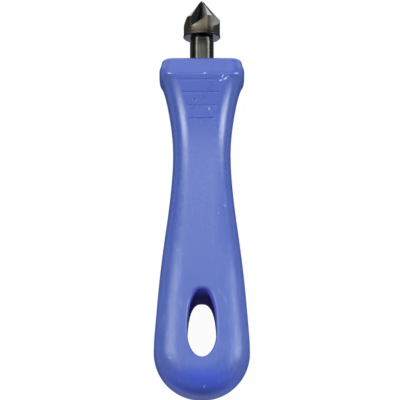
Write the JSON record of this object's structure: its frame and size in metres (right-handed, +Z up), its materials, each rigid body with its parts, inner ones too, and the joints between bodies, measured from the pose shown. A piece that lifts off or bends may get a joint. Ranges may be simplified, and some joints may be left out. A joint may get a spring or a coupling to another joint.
{
  "type": "hand countersink",
  "caption": "Hand countersink: a five-flute 82 degree steel cutter on a short round shank, fixed in a waisted, one-piece moulded plastic handle with a hanging hole in its rounded tail.",
  "frame": {"origin": "on the surface the tool lies on, under the middle of its box", "axes": "+Y along the tool towards the cutting tip, +X across the broad face to the right seen from above with the tip away, +Z up out of the broad face"},
  "size_m": [0.0322, 0.1394, 0.02],
  "materials": {
    "handle_plastic": "semi-gloss moulded blue plastic",
    "tool_steel": "ground and darkened tool steel"
  },
  "bodies": {
    "root": {"handle": "handle_plastic", "countersink_bit": "tool_steel"}
  },
  "joints": []
}
